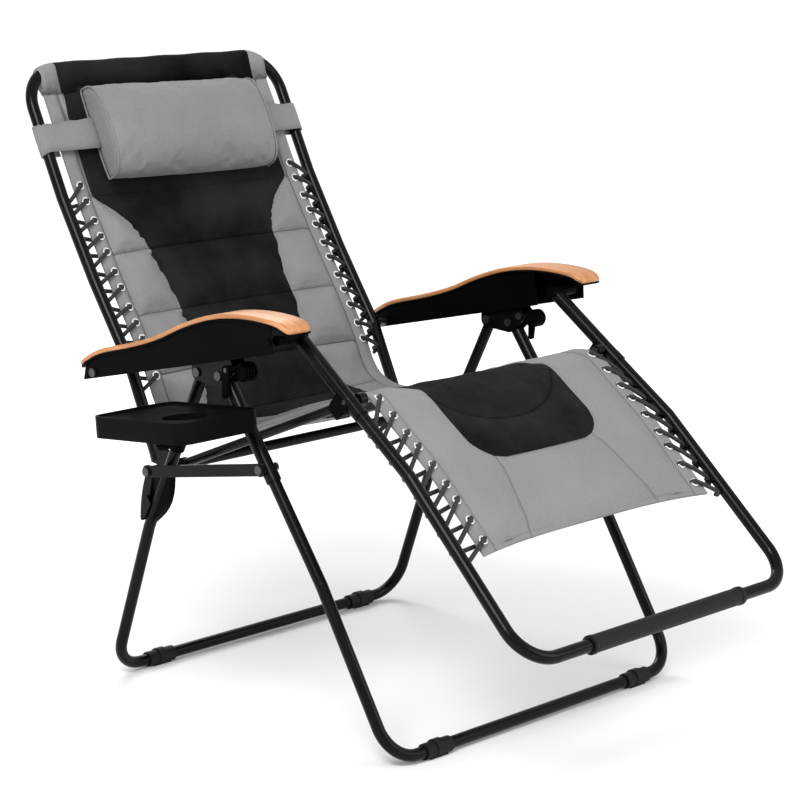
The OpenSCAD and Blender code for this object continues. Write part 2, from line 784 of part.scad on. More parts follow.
module side_tray() {
    clamp = along(rear_pivot, rear_bend, 152);
    rod_z = tray_top[1] - tray_h - 21.5;
    translate(place) color(plastic_black) side(-1) {
        translate([tray_in, tray_top[0], tray_top[1]]) rotate([tray_tilt, 0, 0]) tray_body();
        for (dy = [-38, 6]) {
            translate([398, clamp[0] + dy, rod_z]) rotate([0, 90, 0]) cylinder(r = 3.5, h = 60);
            translate([450, clamp[0] + dy - 4, rod_z - 4]) cube([8, 8, 42]);
        }
    }
}

front_leg_frame();
front_leg_upper(1);  // front_leg_upper_left
front_leg_upper(-1);  // front_leg_upper_right
front_feet();
rear_leg_frame();
rear_leg_fins();
rear_feet();
lock_bracket(1);  // lock_bracket_left
lock_bracket(-1);  // lock_bracket_right
bracket_bolts();
lock_housings();
slide_blocks();
lock_lever(1);  // lock_lever_left
lock_lever(-1);  // lock_lever_right
side_link(1);  // side_link_left
side_link(-1);  // side_link_right
link_bolts();
rear_cross_tube();
cross_bolts();
cross_spacers();
latch_hook(1);  // latch_hook_left
latch_hook(-1);  // latch_hook_right
back_frame();
back_knuckle(1);  // back_knuckle_left
back_knuckle(-1);  // back_knuckle_right
back_sling();
back_lacing(1);  // back_lacing_left
back_lacing(-1);  // back_lacing_right
back_grommets();
seat_pivot_bushes();
seat_bar(1);  // seat_bar_left
seat_bar(-1);  // seat_bar_right
seat_sling();
knee_pivot_bolts();
leg_rest_frame();
rest_sleeve(1);  // rest_sleeve_left
rest_sleeve(-1);  // rest_sleeve_right
knee_clevis(1);  // knee_clevis_left
knee_clevis(-1);  // knee_clevis_right
arm_knuckles();
foot_grip();
leg_sling();
leg_lacing(1);  // leg_lacing_left
leg_lacing(-1);  // leg_lacing_right
leg_grommets();
arm_pivot_bolts();
armrest_channel(1);  // armrest_channel_left
armrest_channel(-1);  // armrest_channel_right
armrest_top(1);  // armrest_top_left
armrest_top(-1);  // armrest_top_right
head_pillow();
pillow_straps();
tray_bracket();
side_tray();
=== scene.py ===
import math
import bpy
import bmesh
import numpy as np
from mathutils import Matrix, Vector
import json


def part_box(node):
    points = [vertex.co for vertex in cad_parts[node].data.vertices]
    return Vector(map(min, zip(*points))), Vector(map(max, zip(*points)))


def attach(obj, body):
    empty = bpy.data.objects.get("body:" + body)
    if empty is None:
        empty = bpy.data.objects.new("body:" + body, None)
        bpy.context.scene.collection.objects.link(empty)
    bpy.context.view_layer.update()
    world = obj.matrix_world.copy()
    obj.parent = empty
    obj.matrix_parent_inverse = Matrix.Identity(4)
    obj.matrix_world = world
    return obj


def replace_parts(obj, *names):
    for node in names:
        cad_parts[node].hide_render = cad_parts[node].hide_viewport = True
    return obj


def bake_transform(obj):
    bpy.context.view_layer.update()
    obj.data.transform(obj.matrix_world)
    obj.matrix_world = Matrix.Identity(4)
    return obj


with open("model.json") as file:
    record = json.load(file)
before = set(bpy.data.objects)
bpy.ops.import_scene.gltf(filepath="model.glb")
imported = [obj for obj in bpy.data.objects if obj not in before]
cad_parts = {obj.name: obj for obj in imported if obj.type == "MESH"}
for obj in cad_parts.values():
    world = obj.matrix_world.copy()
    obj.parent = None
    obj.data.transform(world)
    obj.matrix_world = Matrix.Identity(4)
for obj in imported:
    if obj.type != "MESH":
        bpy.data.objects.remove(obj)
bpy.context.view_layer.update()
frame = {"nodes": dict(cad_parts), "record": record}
nodes = frame["nodes"]

# ---------------------------------------------------------------- materials


class Nodes:
    """Short calls for a material's node tree."""

    def __init__(self, name):
        self.mat = bpy.data.materials.new(name)
        self.mat.use_nodes = True
        self.tree = self.mat.node_tree
        self.bsdf = self.tree.nodes["Principled BSDF"]
        self.coord = self.tree.nodes.new("ShaderNodeTexCoord")

    def link(self, a, b):
        self.tree.links.new(a, b)
        return self

    def put(self, value, socket):
        if isinstance(value, (int, float, tuple, list)):
            socket.default_value = value
        else:
            self.link(value, socket)

    def math(self, op, a, b=0.0, clamp=False):
        n = self.tree.nodes.new("ShaderNodeMath")
        n.operation = op
        n.use_clamp = clamp
        self.put(a, n.inputs[0])
        self.put(b, n.inputs[1])
        return n.outputs[0]

    def vec(self, source="Object", scale=(1, 1, 1), turn=(0, 0, 0)):
        n = self.tree.nodes.new("ShaderNodeMapping")
        self.link(self.coord.outputs[source], n.inputs["Vector"])
        n.inputs["Scale"].default_value = scale
        n.inputs["Rotation"].default_value = turn
        return n.outputs[0]

    def noise(self, vector, scale, detail=4.0, rough=0.5, distort=0.0):
        n = self.tree.nodes.new("ShaderNodeTexNoise")
        self.link(vector, n.inputs["Vector"])
        n.inputs["Scale"].default_value = scale
        n.inputs["Detail"].default_value = detail
        n.inputs["Roughness"].default_value = rough
        n.inputs["Distortion"].default_value = distort
        return n.outputs["Fac"]

    def wave(self, vector, scale, axis="X", distort=0.0, profile="SIN", detail=0.0):
        n = self.tree.nodes.new("ShaderNodeTexWave")
        n.bands_direction = axis
        n.wave_profile = profile
        self.link(vector, n.inputs["Vector"])
        n.inputs["Scale"].default_value = scale
        n.inputs["Distortion"].default_value = distort
        n.inputs["Detail"].default_value = detail
        return n.outputs["Fac"]

    def voronoi(self, vector, scale):
        n = self.tree.nodes.new("ShaderNodeTexVoronoi")
        self.link(vector, n.inputs["Vector"])
        n.inputs["Scale"].default_value = scale
        return n.outputs["Distance"]

    def attribute(self, name):
        n = self.tree.nodes.new("ShaderNodeAttribute")
        n.attribute_name = name
        return n.outputs["Fac"]

    def ramp(self, fac, stops):
        n = self.tree.nodes.new("ShaderNodeValToRGB")
        self.link(fac, n.inputs[0])
        e = n.color_ramp.elements
        while len(e) < len(stops):
            e.new(0.5)
        for el, (p, c) in zip(e, stops):
            el.position = p
            el.color = (*c, 1) if len(c) == 3 else c
        return n.outputs[0]

    def span(self, fac, a, b, c, d):
        """fac from a..b taken to c..d, held outside."""
        n = self.tree.nodes.new("ShaderNodeMapRange")
        self.put(fac, n.inputs[0])
        for i, v in enumerate((a, b, c, d)):
            n.inputs[i + 1].default_value = v
        return n.outputs[0]

    def mix(self, fac, a, b, blend="MIX"):
        n = self.tree.nodes.new("ShaderNodeMix")
        n.data_type = "RGBA"
        n.blend_type = blend
        self.put(fac, n.inputs[0])
        self.put((*a, 1) if isinstance(a, tuple) else a, n.inputs[6])
        self.put((*b, 1) if isinstance(b, tuple) else b, n.inputs[7])
        return n.outputs[2]

    def bump(self, height, strength, distance, under=None):
        n = self.tree.nodes.new("ShaderNodeBump")
        self.link(height, n.inputs["Height"])
        n.inputs["Strength"].default_value = strength
        n.inputs["Distance"].default_value = distance
        if under is not None:
            self.link(under, n.inputs["Normal"])
        return n.outputs[0]

    def finish(self, color=None, rough=None, metal=None, normal=None, coat=None, sheen=None, spec=None):
        for value, key in ((color, "Base Color"), (rough, "Roughness"), (metal, "Metallic"),
                           (normal, "Normal"), (coat, "Coat Weight"), (sheen, "Sheen Weight"),
                           (spec, "Specular IOR Level")):
            if value is not None:
                if isinstance(value, tuple) and key == "Base Color":
                    value = (*value, 1)
                self.put(value, self.bsdf.inputs[key])
        return self.mat


def powder_coat():
    m = Nodes("powder_black")
    v = m.vec()
    grain = m.noise(v, 900, 3, 0.6)
    cloud = m.noise(v, 14, 3)
    color = m.ramp(cloud, [(0.3, (0.0022, 0.0022, 0.0025)), (0.7, (0.0042, 0.0042, 0.0046))])
    rough = m.span(cloud, 0.3, 0.7, 0.18, 0.27)
    return m.finish(color, rough, normal=m.bump(grain, 0.10, 0.0004), spec=0.12)


def moulded(name, low, high, rough, strength=0.25):
    m = Nodes(name)
    v = m.vec()
    grain = m.noise(v, 1400, 2, 0.5)
    cell = m.voronoi(v, 700)
    cloud = m.noise(v, 9, 3)
    color = m.ramp(cloud, [(0.3, low), (0.75, high)])
    r = m.span(cloud, 0.3, 0.7, rough - 0.05, rough + 0.06)
    b = m.bump(grain, strength, 0.0005)
    return m.finish(color, r, normal=m.bump(cell, strength * 0.5, 0.0004, b), spec=0.022)


def rubber():
    m = Nodes("rubber_black")
    v = m.vec()
    knurl = m.math("ADD", m.wave(v, 95, "X"), m.wave(v, 70, "Z"))
    grain = m.noise(v, 600, 3)
    color = m.ramp(grain, [(0.35, (0.006, 0.006, 0.006)), (0.7, (0.012, 0.012, 0.0125))])
    b = m.bump(knurl, 0.35, 0.0008)
    return m.finish(color, 0.55, normal=m.bump(grain, 0.3, 0.0006, b), spec=0.16)


def steel():
    m = Nodes("bare_steel")
    v = m.vec(scale=(8, 1, 1))
    brush = m.noise(v, 300, 4, 0.6)
    cloud = m.noise(m.vec(), 40, 3)
    color = m.ramp(cloud, [(0.3, (0.42, 0.42, 0.44)), (0.7, (0.68, 0.68, 0.70))])
    return m.finish(color, m.span(brush, 0.3, 0.7, 0.18, 0.36), 1.0, m.bump(brush, 0.08, 0.0003))


def dark_steel():
    m = Nodes("dark_steel")
    v = m.vec(scale=(8, 1, 1))
    brush = m.noise(v, 300, 4, 0.6)
    color = m.ramp(brush, [(0.3, (0.05, 0.05, 0.055)), (0.7, (0.12, 0.12, 0.125))])
    return m.finish(color, 0.34, 0.9, m.bump(brush, 0.08, 0.0003))


def grommet():
    m = Nodes("grommet")
    wear = m.noise(m.vec(), 260, 3)
    color = m.ramp(wear, [(0.35, (0.72, 0.72, 0.73)), (0.7, (0.88, 0.88, 0.89))])
    return m.finish(color, m.span(wear, 0.3, 0.7, 0.22, 0.34), 0.55, m.bump(wear, 0.1, 0.0002))


def wood_look():
    m = Nodes("wood_look")
    v = m.vec(scale=(60, 3.2, 60))
    grain = m.noise(v, 1.0, 8, 0.62, 0.8)
    pores = m.noise(m.vec(scale=(260, 9, 260)), 1.0, 3, 0.7)
    rings = m.wave(m.vec(scale=(1, 0.10, 1)), 26, "X", 9.0, "SAW", 3.0)
    base = m.ramp(grain, [(0.25, (0.36, 0.135, 0.045)), (0.5, (0.52, 0.225, 0.085)),
                          (0.75, (0.64, 0.31, 0.135))])
    ring = m.ramp(rings, [(0.0, (0.80, 0.78, 0.75)), (0.5, (1, 1, 1)), (1.0, (0.86, 0.84, 0.82))])
    color = m.mix(0.6, base, ring, "MULTIPLY")
    pore = m.span(pores, 0.30, 0.42, 0.55, 0.0)
    color = m.mix(pore, color, (0.22, 0.075, 0.025))
    return m.finish(color, m.span(grain, 0.3, 0.7, 0.40, 0.52), normal=m.bump(grain, 0.12, 0.0006), coat=0.06)


def weave_parts(m, source):
    """Height of a plain weave whose threads run along two axes, with its flecks and its clouding."""
    v = m.vec(source)
    thread = m.math("MULTIPLY", m.wave(v, 150, "X"), m.wave(v, 150, "Y"))
    fleck = m.noise(v, 420, 3, 0.6)
    cloud = m.noise(m.vec("Object"), 7, 4, 0.6)
    return thread, fleck, cloud


GREY_LOW, GREY_HIGH = (0.182, 0.182, 0.185), (0.266, 0.266, 0.270)
BLACK_LOW, BLACK_HIGH = (0.0034, 0.0035, 0.0038), (0.0074, 0.0076, 0.0082)


def seam_lines(m):
    """Distances in metres to the quilting seams (the cushion's arc and the back's channels) and to the
    two slanted seams below the thigh panel. U runs across the chair and V along it."""
    n = m.tree.nodes.new("ShaderNodeSeparateXYZ")
    m.link(m.coord.outputs["UV"], n.inputs[0])
    u, v = n.outputs[0], n.outputs[1]
    across = m.math("DIVIDE", m.math("ADD", u, 0.006), ARC_HALF)
    down = m.math("DIVIDE", m.math("SUBTRACT", v, S_KNEE), ARC_DROP)
    reach = m.math("SQRT", m.math("ADD", m.math("MULTIPLY", across, across), m.math("MULTIPLY", down, down)))
    arc = m.math("MULTIPLY", m.math("ABSOLUTE", m.math("SUBTRACT", reach, 1.0)), 0.12)
    arc = m.math("ADD", arc, m.span(v, S_KNEE + 0.020, S_KNEE + 0.026, 0.1, 0.0))
    side = m.math("ABSOLUTE", u)
    foot = THIGH[1] - 0.006
    slant = m.math("ABSOLUTE", m.math("SUBTRACT", side, m.span(v, foot, TOTAL, 0.122, 0.165)))
    slant = m.math("ADD", slant, m.span(v, foot - 0.001, foot + 0.001, 0.1, 0.0008))
    bow = m.math("DIVIDE", u, CHANNEL_HALF)
    dip = m.math("MULTIPLY", m.math("MULTIPLY", bow, bow), CHANNEL_BOW)
    along = m.math("ADD", v, m.math("SUBTRACT", CHANNEL_BOW, dip))
    line = arc
    for c in CHANNELS[1:]:
        near = m.math("ABSOLUTE", m.math("SUBTRACT", along, S_BACK0 + c))
        past_end = m.span(side, CHANNEL_HALF - 0.001, CHANNEL_HALF, 0.0, 0.1)
        line = m.math("MINIMUM", line, m.math("ADD", near, past_end))
    return line, slant


def sling_fabric():
    """Grey and black woven fabric: dark says how far a point is inside the black panels,
    seam how far it is from the nearest seam, both in metres."""
    m = Nodes("sling_fabric")
    thread, fleck, cloud = weave_parts(m, "UV")
    crease = m.noise(m.vec("Object", (1, 1, 1)), 38, 4, 0.55, 0.6)
    grey = m.ramp(m.math("ADD", m.math("MULTIPLY", fleck, 0.6), m.math("MULTIPLY", thread, 0.5)),
                  [(0.15, GREY_LOW), (0.75, GREY_HIGH)])
    black = m.ramp(fleck, [(0.3, BLACK_LOW), (0.7, BLACK_HIGH)])
    inside = m.span(m.attribute("dark"), -0.0006, 0.0006, 0, 1)
    color = m.mix(inside, grey, black)
    quilt, slant = seam_lines(m)
    panel = m.math("MINIMUM", m.attribute("seam"), slant)
    stitch = m.math("MINIMUM", panel, quilt)
    # painted shade: the colour is darkened along the panel seams and the quilting seams, standing in for the
    # shade in their creases
    panel_seam_shade = m.span(panel, 0.0003, 0.0022, 0.62, 0.0)
    quilt_seam_shade = m.math("MULTIPLY", m.span(quilt, 0.0003, 0.0024, 0.9, 0.0), m.span(inside, 0, 1, 0.35, 1.0))
    seam_shade = m.math("MAXIMUM", panel_seam_shade, quilt_seam_shade)
    # painted shade colour for the seam lines: near-black on the grey, darker still on the black panels
    color = m.mix(seam_shade, color, m.mix(inside, (0.010, 0.010, 0.0105), (0.0008, 0.0008, 0.0009)))
    color = m.mix(m.span(cloud, 0.35, 0.65, 0.14, 0.0), color, (0.08, 0.08, 0.08))
    swell = m.math("SQRT", m.span(stitch, 0.0, 0.030, 0, 1))
    b = m.bump(swell, 0.9, 0.0050)
    b = m.bump(m.span(stitch, 0.0, 0.006, 0, 1), 0.8, 0.0022, b)
    b = m.bump(crease, 0.55, 0.0060, b)
    b = m.bump(thread, 0.30, 0.0007, b)
    b = m.bump(fleck, 0.25, 0.0007, b)
    shine = m.math("MULTIPLY", m.span(inside, 0, 1, 0.18, 0.03), m.math("SUBTRACT", 1.0, seam_shade))
    return m.finish(color, 0.85, normal=b, sheen=m.span(inside, 0, 1, 0.06, 0.008), spec=shine)


def plain_fabric(name, low, high):
    m = Nodes(name)
    v = m.vec("Object")
    fleck = m.noise(v, 420, 3, 0.6)
    knit = m.voronoi(v, 620)
    cloud = m.noise(v, 9, 4, 0.6)
    crease = m.noise(v, 26, 3, 0.5, 0.5)
    color = m.ramp(m.math("ADD", m.math("MULTIPLY", fleck, 0.7), m.math("MULTIPLY", knit, 0.4)),
                   [(0.15, low), (0.75, high)])
    color = m.mix(m.span(cloud, 0.35, 0.65, 0.14, 0.0), color, (0.08, 0.08, 0.08))
    b = m.bump(crease, 0.35, 0.0060)
    b = m.bump(knit, 0.30, 0.0008, b)
    return m.finish(color, 0.88, normal=m.bump(fleck, 0.30, 0.0008, b), sheen=0.08, spec=0.2)


def cord():
    m = Nodes("cord_black")
    v = m.vec()
    braid = m.math("MULTIPLY", m.wave(v, 190, "DIAGONAL"), m.wave(m.vec(turn=(0, 0, 1.57)), 190, "DIAGONAL"))
    color = m.ramp(braid, [(0.1, (0.006, 0.006, 0.007)), (0.8, (0.022, 0.022, 0.024))])
    return m.finish(color, 0.6, normal=m.bump(braid, 0.6, 0.0008))


M = {
    "powder_black": powder_coat(),
    "plastic_black": moulded("plastic_black", (0.0012, 0.0012, 0.0014), (0.0028, 0.0028, 0.0031), 0.42),
    "tray_black": moulded("tray_black", (0.0026, 0.0026, 0.0029), (0.0056, 0.0056, 0.0060), 0.34, 0.2),
    "rubber_black": rubber(),
    "cord_black": cord(),
    "bare_steel": steel(),
    "dark_steel": dark_steel(),
    "grommet": grommet(),
    "fabric_grey": plain_fabric("fabric_grey", (0.154, 0.154, 0.157), (0.224, 0.224, 0.227)),
    "fabric_black": plain_fabric("fabric_black", BLACK_LOW, BLACK_HIGH),
    "wood_look": wood_look(),
}

SLOT_OF = {s["node"]: s["material_slot"] for s in frame["record"]["subparts"]}
for name, o in nodes.items():
    mat = M[SLOT_OF[name]]
    if name in ("bracket_bolts", "cross_bolts", "knee_pivot_bolts", "arm_pivot_bolts", "link_bolts"):
        mat = M["dark_steel"]
    if o.material_slots:
        for s in o.material_slots:
            s.material = mat
    else:
        o.data.materials.append(mat)

# small rounds on the edges of the flat-sided parts
for name in ("lock_lever_left", "lock_lever_right", "side_link_left", "side_link_right",
             "lock_bracket_left", "lock_bracket_right"):
    bev = nodes[name].modifiers.new("round", "BEVEL")
    bev.width = 0.0008
    bev.segments = 2
    bev.limit_method = "ANGLE"
    bev.angle_limit = math.radians(50)

# ---------------------------------------------------------------- side-view geometry, in metres

# shapes below are drawn about the chair's mid plane, then moved to the CAD's origin
PLACE = Vector((0.08635, -0.01275, 0))


def ride(o, body):
    o.data.transform(Matrix.Translation(PLACE))
    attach(o, body)


def blend(o, a, b, start, end):
    o.data.transform(Matrix.Translation(PLACE))
    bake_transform(o)


def spline(knots, per_span):
    """Catmull-Rom through knots."""
    k = np.array(knots, float)
    ext = np.vstack([2 * k[0] - k[1], k, 2 * k[-1] - k[-2]])
    out = []
    for i in range(len(k) - 1):
        p0, p1, p2, p3 = ext[i:i + 4]
        for t in np.arange(per_span) / per_span:
            out.append(0.5 * (2 * p1 + (p2 - p0) * t + (2 * p0 - 5 * p1 + 4 * p2 - p3) * t * t
                              + (3 * p1 - p0 - 3 * p2 + p3) * t ** 3))
    return np.array(out + [k[-1]])


def arc_length(c):
    return np.r_[0, np.cumsum(np.linalg.norm(np.diff(c, axis=0), axis=1))]


def resample(c, s):
    """Points of the curve at the arc lengths s."""
    a = arc_length(c)
    return np.stack([np.interp(s, a, c[:, i]) for i in range(c.shape[1])], -1)


HEAD = np.array([0.6525, 1.073])
BACK_TUBE = np.array([[0.6525, 1.073], [0.541, 0.850], [0.455, 0.708], [0.358, 0.565], [0.285, 0.408]])
BACK_W, TUBE_R = 0.307, 0.011
ARM_FRONT = np.array([-0.098, 0.678])
REST_TUBE = np.array([[-0.098, 0.678], [-0.220, 0.588], [-0.360, 0.487], [-0.626, 0.236]])
REST_W = (0.320, 0.339)

# the whole sling's centre line, from under the head bar to the front hem
BACK_KNOTS = [(0.6465, 1.061), (0.598, 0.964), (0.541, 0.850), (0.455, 0.708), (0.390, 0.610), (0.352, 0.545),
              (0.330, 0.500)]
SEAT_KNOTS = [(0.306, 0.474), (0.262, 0.459), (0.200, 0.462), (0.130, 0.476), (0.040, 0.508), (-0.060, 0.546),
              (-0.150, 0.575), (-0.190, 0.587)]
LEG_KNOTS = [(-0.232, 0.583), (-0.290, 0.540), (-0.360, 0.487), (-0.430, 0.421), (-0.483, 0.371)]
CURVE = spline(BACK_KNOTS + SEAT_KNOTS + LEG_KNOTS, 40)
LENGTH = arc_length(CURVE)
TOTAL = LENGTH[-1]


def s_at(y, z):
    """Arc length of the sling's nearest point to (y, z)."""
    return float(LENGTH[np.argmin(np.hypot(CURVE[:, 0] - y, CURVE[:, 1] - z))])


S_BACK0 = s_at(0.630, 1.028)       # where the widths in LOBES start
S_BACK_END = s_at(0.345, 0.528)    # the back part rides on the back down to here
S_CREASE = s_at(0.300, 0.470)
S_SEAT0 = s_at(0.262, 0.459)
S_SEAT1 = s_at(-0.165, 0.580)
S_KNEE = s_at(-0.2105, 0.5905)
S_LEG0 = s_at(-0.256, 0.566)


def half_width(s):
    """Half width of the sling at arc length s."""
    grow = np.clip((s - S_SEAT1) / (S_LEG0 - S_SEAT1), 0, 1)
    return 0.2745 + 0.0015 * np.clip(s / 0.1, 0, 1) + 0.010 * grow * grow * (3 - 2 * grow)


def smooth(t):
    t = np.clip(t, 0, 1)
    return t * t * (3 - 2 * t)


# half width of the black panel down the back, as (distance from S_BACK0, half width), with a notch at
# each channel seam
LOBES = [(0.000, 0.230), (0.040, 0.237), (0.190, 0.241), (0.200, 0.241), (0.208, 0.236), (0.222, 0.218),
         (0.244, 0.193), (0.270, 0.173), (0.300, 0.159), (0.321, 0.154), (0.332, 0.157), (0.350, 0.151),
         (0.383, 0.1445), (0.415, 0.140), (0.447, 0.1395), (0.456, 0.142), (0.473, 0.137), (0.500, 0.131),
         (0.535, 0.129), (0.563, 0.132), (0.572, 0.138), (0.590, 0.146), (0.612, 0.154), (0.640, 0.168),
         (0.660, 0.185), (0.685, 0.196), (0.712, 0.188), (0.735, 0.160)]
CHANNELS = [0.205, 0.321, 0.447, 0.563, 0.660]
CHANNEL_HALF, CHANNEL_BOW = 0.246, 0.006
BACK_BLACK_END = S_BACK0 + 0.742
THIGH = (S_SEAT0 + 0.205, S_KNEE + 0.186)      # black thigh panel, from and to
THIGH_W = 0.158
THIGH_ROUND = 0.062
ARC_HALF, ARC_DROP = 0.160, 0.110
EDGE = 0.030
HEM = 0.016


def black_distance(x, s):
    """Signed distance into the black panels, positive inside."""
    ax = np.abs(x)
    t = s - S_BACK0
    lob = np.array(LOBES)
    h = np.minimum(np.interp(t, lob[:, 0], lob[:, 1]), half_width(s) - EDGE)
    slope = (np.interp(t + 0.004, lob[:, 0], lob[:, 1]) - np.interp(t - 0.004, lob[:, 0], lob[:, 1])) / 0.008
    back = np.minimum((h - ax) / np.sqrt(1 + slope ** 2), BACK_BLACK_END - s)
    mid = 0.5 * (THIGH[0] + THIGH[1])
    half = 0.5 * (THIGH[1] - THIGH[0])
    qx = ax - (THIGH_W - THIGH_ROUND)
    qs = np.abs(s - mid) - (half - THIGH_ROUND)
    box = np.hypot(np.maximum(qx, 0), np.maximum(qs, 0)) + np.minimum(np.maximum(qx, qs), 0) - THIGH_ROUND
    return np.maximum(back, -box)


def segment_distance(x, s, a, b):
    ab = np.array(b, float) - np.array(a, float)
    t = np.clip(((x - a[0]) * ab[0] + (s - a[1]) * ab[1]) / (ab @ ab), 0, 1)
    return np.hypot(x - a[0] - t * ab[0], s - a[1] - t * ab[1])


def channel_lines():
    """The seams across the back, as ((x, s), (x, s)) pairs."""
    lines = []
    for c in CHANNELS:
        s = S_BACK0 + c
        wide, sag = CHANNEL_HALF, CHANNEL_BOW
        xs = np.linspace(-wide, wide, 9)
        pts = [(x, s - sag * (1 - (x / wide) ** 2)) for x in xs]
        lines += list(zip(pts[:-1], pts[1:]))
    return lines


def arc_line():
    """The cushion's arc seam, as pairs like the channel seams."""
    a = np.linspace(0.12, 0.88, 15) * math.pi
    pts = list(zip(-0.006 + ARC_HALF * np.cos(a), S_KNEE + ARC_DROP * np.sin(a)))
    return list(zip(pts[:-1], pts[1:]))


SEAMS = channel_lines() + arc_line()


def seam_distance(x, s):
    d = np.abs(black_distance(x, s))
    d = np.minimum(d, np.abs(half_width(s) - EDGE - np.abs(x)))
    d = np.minimum(d, np.abs(TOTAL - HEM - s))
    for a, b in SEAMS:
        d = np.minimum(d, segment_distance(x, s, a, b))
    return d


def sag(u, s):
    """How far the sling hangs below the line of its edges, along its back normal."""
    depth = np.interp(s, [0, 0.05, 0.10, 0.35, S_BACK_END, S_SEAT0, S_SEAT0 + 0.2, S_SEAT1, S_KNEE,
                          S_LEG0 + 0.05, TOTAL],
                      [0, 0.006, 0.008, 0.011, 0.012, 0.013, 0.016, 0.018, 0.014, 0.009, 0.006])
    return depth * (1 - np.abs(u) ** 2.2)


def fullness(s):
    """How full the quilting is along the sling: thin under the pillow and over the knee."""
    return np.interp(s, [0.24, 0.30, S_BACK_END, S_SEAT0, S_SEAT1], [0.15, 1, 1, 0.70, 0.20])


def hem_end(u):
    return TOTAL - 0.014 * (1 - np.abs(u) ** 3)


NU, NV = 74, 196
THICK = 0.0030        # half the thickness at a seam
PUFF_FRONT, PUFF_BACK = 0.0140, 0.0030


def sling_points():
    """Grids of the sling's front and back surfaces, with x and s of every point."""
    u = np.linspace(-1, 1, NU + 1)
    t = np.linspace(0, 1, NV + 1)
    uu, tt = np.meshgrid(u, t)
    s = tt * hem_end(uu)
    x = uu * half_width(s)
    flat = s.ravel()
    p = resample(CURVE, flat)
    ahead = resample(CURVE, np.clip(flat + 0.006, 0, TOTAL))
    behind = resample(CURVE, np.clip(flat - 0.006, 0, TOTAL))
    d = ahead - behind
    d /= np.linalg.norm(d, axis=1)[:, None]
    n = np.stack([d[:, 1], -d[:, 0]], 1)      # towards the sitter
    flip = np.sign(n[:, 1])
    n *= np.where(flip < 0, -1, 1)[:, None]
    mid = p - n * sag(uu.ravel(), flat)[:, None]
    seam = seam_distance(x.ravel(), flat)
    fat = np.sqrt(1 - (1 - np.clip(seam / 0.046, 0, 1)) ** 2)
    edge = smooth((half_width(flat) - np.abs(x.ravel())) / 0.03)
    thigh = bolster(x.ravel(), flat)
    front = mid + n * (THICK + PUFF_FRONT * fat * edge * fullness(flat)
                       + thigh)[:, None]
    back = mid - n * (THICK * 0.6 + PUFF_BACK * fat * edge * fullness(flat))[:, None]
    shape = (NV + 1, NU + 1)

    def grid(q):
        return np.stack([x, q[:, 0].reshape(shape), q[:, 1].reshape(shape)], 2)
    return grid(front), grid(back), x, s, seam.reshape(shape)


def bolster(x, s):
    """The raised cushion under the thighs, inside the arc seam."""
    edge = S_KNEE + ARC_DROP * np.sqrt(np.clip(1 - ((x + 0.006) / ARC_HALF) ** 2, 0, 1))
    inside = smooth((edge - s) / 0.035) * smooth((THIGH_W - np.abs(x)) / 0.04)
    inside *= smooth((s - (THIGH[0] + 0.01)) / 0.12)
    return 0.003 * inside


M["sling"] = sling_fabric()

# ---------------------------------------------------------------- mesh helpers


def new_object(name, verts, faces, mat, smooth_shade=True):
    me = bpy.data.meshes.new(name)
    me.from_pydata([tuple(v) for v in verts], [], [tuple(f) for f in faces])
    me.validate()
    me.update()
    o = bpy.data.objects.new(name, me)
    bpy.context.scene.collection.objects.link(o)
    if mat is not None:
        me.materials.append(mat)
    if smooth_shade:
        me.polygons.foreach_set("use_smooth", [True] * len(me.polygons))
    return o


def shell(front, back, rows):
    """Vertices and faces of a closed slab between two grids, for the grid rows given: all of the
    front's vertices, then all of the back's."""
    nv, nu = rows[1] - rows[0], front.shape[1]
    f = front[rows[0]:rows[1]].reshape(-1, 3)
    b = back[rows[0]:rows[1]].reshape(-1, 3)
    verts = np.vstack([f, b])
    off = len(f)
    faces = []
    for j in range(nv - 1):
        for i in range(nu - 1):
            a = j * nu + i
            faces.append((a, a + 1, a + nu + 1, a + nu))
            faces.append((off + a, off + a + nu, off + a + nu + 1, off + a + 1))
    for i in range(nu - 1):
        faces.append((i, off + i, off + i + 1, i + 1))
        a = (nv - 1) * nu + i
        faces.append((a, a + 1, off + a + 1, off + a))
    for j in range(nv - 1):
        a = j * nu
        faces.append((a, a + nu, off + a + nu, off + a))
        a = j * nu + nu - 1
        faces.append((a, off + a, off + a + nu, a + nu))
    return verts, faces


def outward(o):
    """Turn a closed mesh's faces outward."""
    bm = bmesh.new()
    bm.from_mesh(o.data)
    bmesh.ops.recalc_face_normals(bm, faces=bm.faces)
    bm.to_mesh(o.data)
    bm.free()


def apply_modifiers(o):
    deps = bpy.context.evaluated_depsgraph_get()
    me = bpy.data.meshes.new_from_object(o.evaluated_get(deps))
    old = o.data
    o.modifiers.clear()
    o.data = me
    bpy.data.meshes.remove(old)


